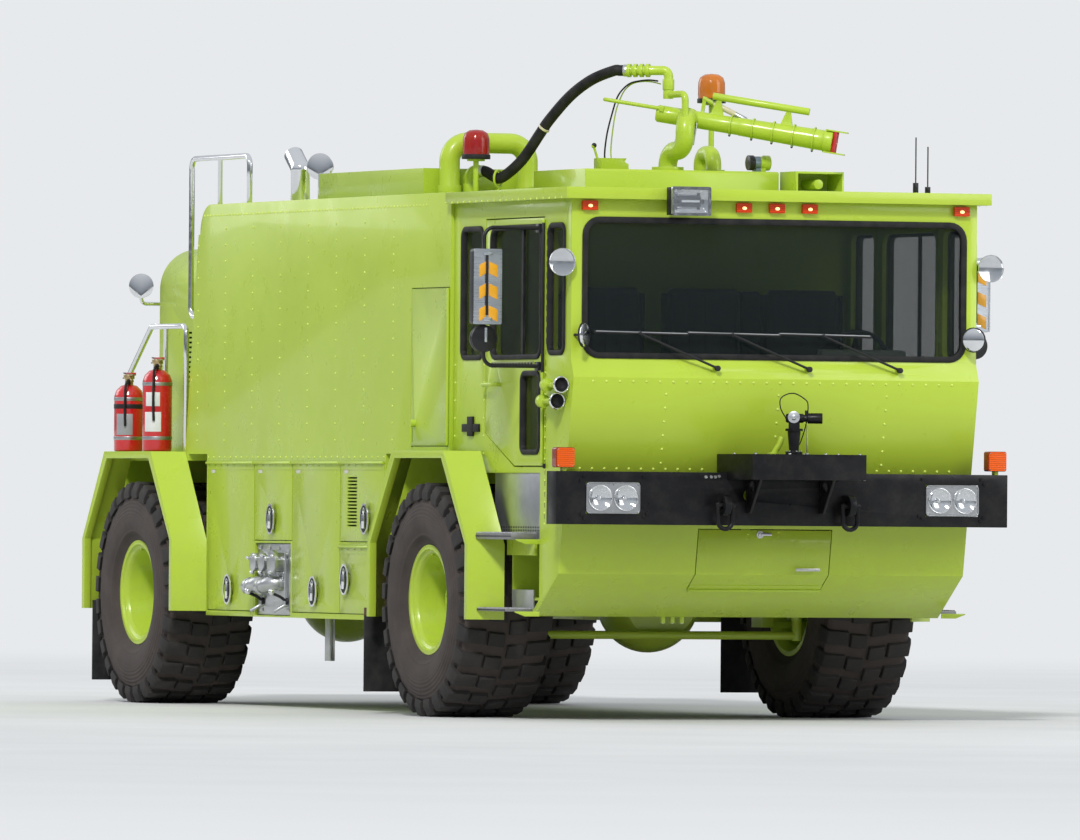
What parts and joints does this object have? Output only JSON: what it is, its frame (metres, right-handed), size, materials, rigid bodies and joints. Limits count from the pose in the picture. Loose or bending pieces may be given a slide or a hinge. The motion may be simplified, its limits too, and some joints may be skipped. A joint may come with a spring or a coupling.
{
  "type": "airport fire truck",
  "caption": "Airport crash tender on two axles with a glazed cab, roof and bumper water monitors, side lockers with drop doors, pump panel and rear engine hood.",
  "frame": {"origin": "middle of the bounding box's bottom face, on the ground", "axes": "front towards -Y, up +Z, the truck's left side towards +X"},
  "size_m": [3.35, 8.0297, 3.7909],
  "materials": {
    "paint": "gloss",
    "black": "satin",
    "steel": "brushed",
    "bright": "polished",
    "tyre": "dusty",
    "rubber": "matt",
    "glass": "clear",
    "red": "gloss",
    "amber": "gloss",
    "trim": "matt",
    "hose": "matt"
  },
  "bodies": {
    "chassis": {"chassis_frame": "black", "front_axle": "paint", "rear_axle": "paint", "engine_block": "steel", "tank_body": "paint", "fenders": "paint", "pump_panel": "steel", "engine_hood": "paint", "cab_shell": "paint", "cab_glass": "glass", "cab_seats": "trim", "cab_dash": "trim", "steering_wheel": "trim", "roof_deck": "paint", "bumper": "black", "tow_shackles": "black", "bumper_box": "black", "headlamps": "bright", "signal_lamps": "amber", "cab_fittings": "bright", "cab_steps": "steel", "mud_flaps": "rubber", "body_rails": "bright", "extinguishers": "red", "roof_pipework": "paint", "roof_hose": "hose", "roof_beacons": "amber", "roof_warning": "paint"},
    "knuckle_right": {"knuckle_right": "paint"},
    "knuckle_left": {"knuckle_left": "paint"},
    "tie_rod": {"tie_rod": "paint"},
    "wheel_front_right": {"rim_front_right": "paint", "tyre_front_right": "tyre"},
    "wheel_front_left": {"rim_front_left": "paint", "tyre_front_left": "tyre"},
    "wheel_rear_right": {"rim_rear_right": "paint", "tyre_rear_right": "tyre"},
    "wheel_rear_left": {"rim_rear_left": "paint", "tyre_rear_left": "tyre"},
    "rear_door": {"rear_door": "paint"},
    "locker_door_rear_right": {"locker_door_rear_right": "paint"},
    "locker_door_pump_right": {"locker_door_pump_right": "paint"},
    "locker_door_mid_right": {"locker_door_mid_right": "paint"},
    "locker_door_vent_right": {"locker_door_vent_right": "paint"},
    "locker_door_low_right": {"locker_door_low_right": "paint"},
    "locker_door_rear_left": {"locker_door_rear_left": "paint"},
    "locker_door_mid_left": {"locker_door_mid_left": "paint"},
    "locker_door_vent_left": {"locker_door_vent_left": "paint"},
    "side_hatch": {"side_hatch": "paint"},
    "cab_door_right": {"cab_door_right": "paint", "door_glass_right": "glass"},
    "cab_door_left": {"cab_door_left": "paint", "door_glass_left": "glass"},
    "chin_door": {"chin_door": "paint"},
    "monitor_base": {"monitor_base": "paint"},
    "monitor_barrel": {"monitor_barrel": "paint"},
    "nozzle_base": {"nozzle_base": "black"},
    "nozzle_head": {"nozzle_head": "black"}
  },
  "joints": [
    {"name": "steering", "type": "hinge", "parent": "chassis", "child": "knuckle_left", "pos_m": [0.95, -1.63, 0.675], "axis": [0, 0, 1], "range_deg": [-28, 28]},
    {"name": "steering_right", "type": "hinge", "parent": "chassis", "child": "knuckle_right", "pos_m": [-0.95, -1.63, 0.675], "axis": [0, 0, 1], "range_deg": [-28, 28]},
    {"name": "tie_rod_turn", "type": "hinge", "parent": "knuckle_left", "child": "tie_rod", "pos_m": [0.82, -1.92, 0.585], "axis": [0, 0, 1], "range_deg": [-32.2, 32.2]},
    {"name": "wheel_front_right", "type": "hinge", "parent": "knuckle_right", "child": "wheel_front_right", "pos_m": [-1.13, -1.63, 0.675], "axis": [1, 0, 0], "continuous": true},
    {"name": "wheel_front_left", "type": "hinge", "parent": "knuckle_left", "child": "wheel_front_left", "pos_m": [1.13, -1.63, 0.675], "axis": [1, 0, 0], "continuous": true},
    {"name": "wheel_rear_right", "type": "hinge", "parent": "chassis", "child": "wheel_rear_right", "pos_m": [-1.13, 3.22, 0.675], "axis": [1, 0, 0], "continuous": true},
    {"name": "wheel_rear_left", "type": "hinge", "parent": "chassis", "child": "wheel_rear_left", "pos_m": [1.13, 3.22, 0.675], "axis": [1, 0, 0], "continuous": true},
    {"name": "locker_rear_right", "type": "hinge", "parent": "chassis", "child": "locker_door_rear_right", "pos_m": [-1.2793, 0.77, 1.466], "axis": [0, 1, 0], "range_deg": [0, 95]},
    {"name": "locker_pump_right", "type": "hinge", "parent": "chassis", "child": "locker_door_pump_right", "pos_m": [-1.2793, 0.77, 1.466], "axis": [0, 1, 0], "range_deg": [0, 95]},
    {"name": "locker_mid_right", "type": "hinge", "parent": "chassis", "child": "locker_door_mid_right", "pos_m": [-1.2793, 0.77, 1.466], "axis": [0, 1, 0], "range_deg": [0, 95]},
    {"name": "locker_vent_right", "type": "hinge", "parent": "chassis", "child": "locker_door_vent_right", "pos_m": [-1.2793, 0.77, 1.466], "axis": [0, 1, 0], "range_deg": [0, 95]},
    {"name": "locker_low_right", "type": "hinge", "parent": "chassis", "child": "locker_door_low_right", "pos_m": [-1.2793, 0.77, 0.972], "axis": [0, 1, 0], "range_deg": [0, 95]},
    {"name": "locker_rear_left", "type": "hinge", "parent": "chassis", "child": "locker_door_rear_left", "pos_m": [1.2793, 0.77, 1.466], "axis": [0, -1, 0], "range_deg": [0, 95]},
    {"name": "locker_mid_left", "type": "hinge", "parent": "chassis", "child": "locker_door_mid_left", "pos_m": [1.2793, 0.77, 1.466], "axis": [0, -1, 0], "range_deg": [0, 95]},
    {"name": "locker_vent_left", "type": "hinge", "parent": "chassis", "child": "locker_door_vent_left", "pos_m": [1.2793, 0.77, 1.466], "axis": [0, -1, 0], "range_deg": [0, 95]},
    {"name": "side_hatch", "type": "hinge", "parent": "chassis", "child": "side_hatch", "pos_m": [-1.2793, -1.67, 2.02], "axis": [0, 0, 1], "range_deg": [0, 110]},
    {"name": "rear_door", "type": "hinge", "parent": "chassis", "child": "rear_door", "pos_m": [0, 3.9393, 1.098], "axis": [-1, 0, 0], "range_deg": [0, 90]},
    {"name": "chin_door", "type": "hinge", "parent": "chassis", "child": "chin_door", "pos_m": [0, -3.2125, 0.7474], "axis": [1, 0, 0], "range_deg": [0, 90]},
    {"name": "cab_door_right", "type": "hinge", "parent": "chassis", "child": "cab_door_right", "pos_m": [-1.2593, -3.084, 2], "axis": [0, 0, 1], "range_deg": [0, 62]},
    {"name": "cab_door_left", "type": "hinge", "parent": "chassis", "child": "cab_door_left", "pos_m": [1.2593, -3.084, 2], "axis": [0, 0, -1], "range_deg": [0, 62]},
    {"name": "monitor_yaw", "type": "hinge", "parent": "chassis", "child": "monitor_base", "pos_m": [0, -1.88, 3.18], "axis": [0, 0, 1], "range_deg": [-160, 40]},
    {"name": "monitor_pitch", "type": "hinge", "parent": "monitor_base", "child": "monitor_barrel", "pos_m": [0.1039, -1.94, 3.475], "axis": [-0.5, -0.866, 0], "range_deg": [-4, 35]},
    {"name": "nozzle_yaw", "type": "hinge", "parent": "chassis", "child": "nozzle_base", "pos_m": [0, -3.78, 1.55], "axis": [0, 0, 1], "range_deg": [-155, 25]},
    {"name": "nozzle_pitch", "type": "hinge", "parent": "nozzle_base", "child": "nozzle_head", "pos_m": [0, -3.78, 1.73], "axis": [-0.4226, -0.9063, 0], "range_deg": [-10, 45]}
  ],
  "couplings": [
    {"joint": "steering_right", "follows": "steering", "ratio": 1},
    {"joint": "tie_rod_turn", "follows": "steering", "ratio": -1.15}
  ]
}
